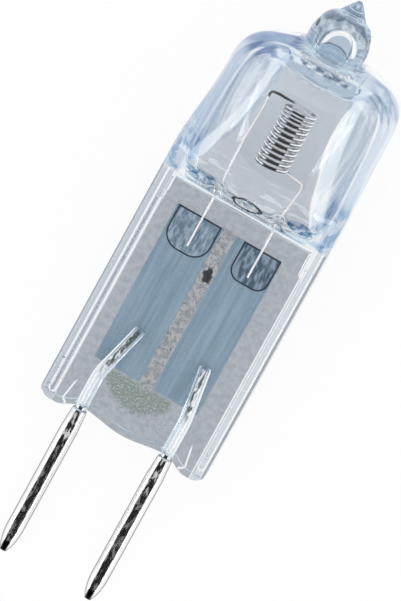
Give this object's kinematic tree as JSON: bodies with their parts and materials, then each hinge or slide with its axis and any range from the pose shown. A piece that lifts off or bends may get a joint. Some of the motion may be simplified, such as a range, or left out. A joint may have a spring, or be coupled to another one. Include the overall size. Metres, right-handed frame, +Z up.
{
  "type": "halogen capsule bulb",
  "caption": "Clear two-pin capsule lamp: round bulb with a coiled filament and a drawn exhaust tip, flat pinched foot with sealing foils, and two parallel straight contact pins.",
  "frame": {"origin": "middle of the lamp's footprint on the floor, under the whole lamp as it lies", "axes": "+X across the flat pinch and over the pins' spacing, +Y along the lamp from the pins to the exhaust tip, level with the floor, +Z up from the face that the lamp lies on"},
  "size_m": [0.0122, 0.0436, 0.0115],
  "materials": {
    "quartz_glass": "clear, polished",
    "filament_wire": "drawn wire",
    "sealing_foil": "dull foil",
    "weld_tab": "etched foil",
    "lead_wire": "drawn wire",
    "contact_pin": "bright plating, lightly scuffed"
  },
  "bodies": {
    "root": {"glass_envelope": "quartz_glass", "filament": "filament_wire", "foil_left": "sealing_foil", "foil_right": "sealing_foil", "weld_tab_left": "weld_tab", "weld_tab_right": "weld_tab", "lead_wire_left": "lead_wire", "lead_wire_right": "lead_wire", "contact_pin_left": "contact_pin", "contact_pin_right": "contact_pin"}
  },
  "joints": []
}
